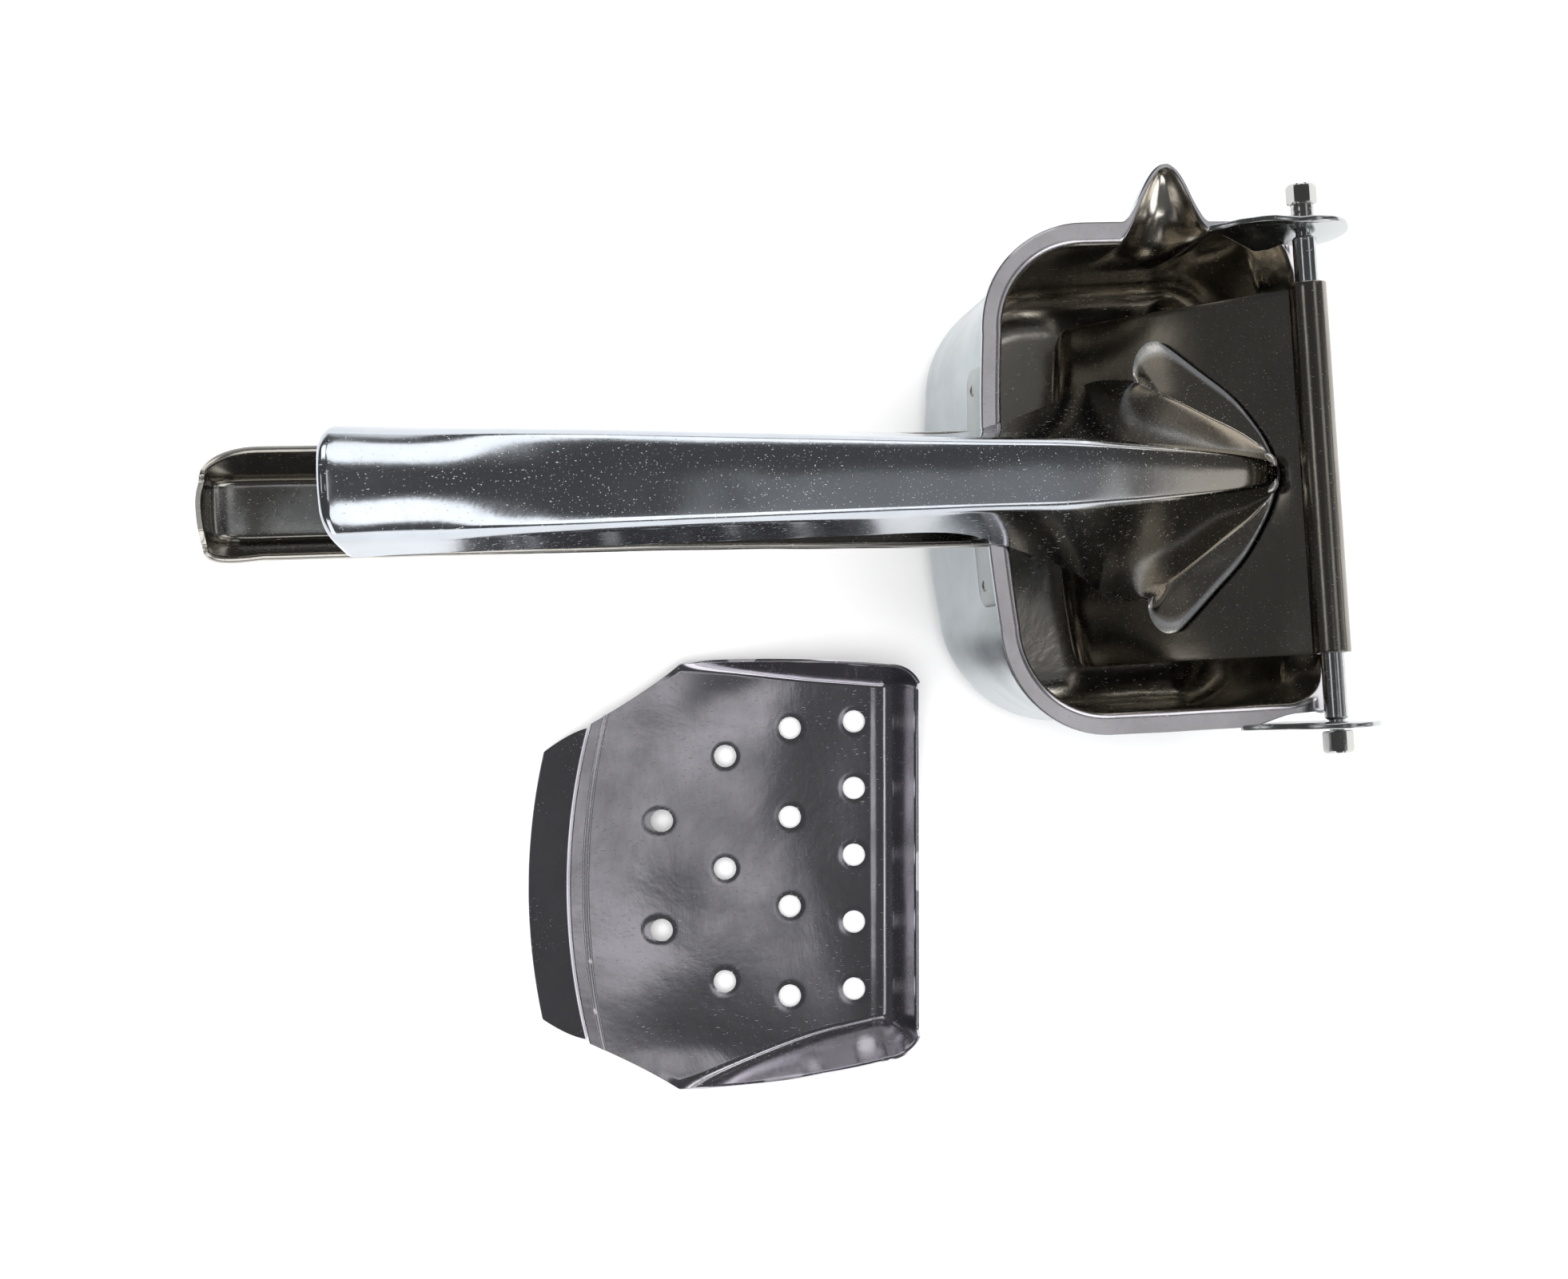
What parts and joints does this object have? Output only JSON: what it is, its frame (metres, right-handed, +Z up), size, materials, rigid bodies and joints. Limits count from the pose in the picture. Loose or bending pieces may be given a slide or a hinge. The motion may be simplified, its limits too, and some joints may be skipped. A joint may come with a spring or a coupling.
{
  "type": "potato ricer",
  "caption": "Stainless steel press with a tilted solid bowl and side spout, channel handles, a hinged press plate and a loose perforated strainer tray.",
  "frame": {"origin": "on the outer face of the bowl's flat base, near its middle, where the ricer stands on the table", "axes": "+Z up, -X towards the handle ends, +X towards the hinge rod, +Y towards the pouring spout"},
  "size_m": [0.2365, 0.1916, 0.1562],
  "materials": {
    "bowl_steel": "polished pressed stainless sheet, satin on the flange",
    "lower_handle_steel": "polished pressed stainless sheet",
    "upper_handle_steel": "polished pressed stainless sheet with fine scratches",
    "press_plate_steel": "polished stainless sheet, slightly warm",
    "hinge_rod_steel": "drawn stainless rod",
    "nut_steel": "bright",
    "strainer_steel": "polished pressed stainless sheet"
  },
  "bodies": {
    "bowl_body": {"bowl": "bowl_steel", "lower_handle": "lower_handle_steel", "hinge_rod": "hinge_rod_steel", "pivot_nut_spout_side": "nut_steel", "pivot_nut_far_side": "nut_steel"},
    "press_body": {"upper_handle": "upper_handle_steel", "press_plate": "press_plate_steel"},
    "strainer_body": {"strainer": "strainer_steel"}
  },
  "joints": [
    {"name": "press_hinge", "type": "hinge", "parent": "bowl_body", "child": "press_body", "pos_m": [0.049, 0, 0.053], "axis": [0, 1, 0], "range_deg": [0, 105]},
    {"name": "strainer_lift", "type": "slide", "parent": "bowl_body", "child": "strainer_body", "axis": [0, 0, 1], "range_m": [0, 0.16]}
  ]
}
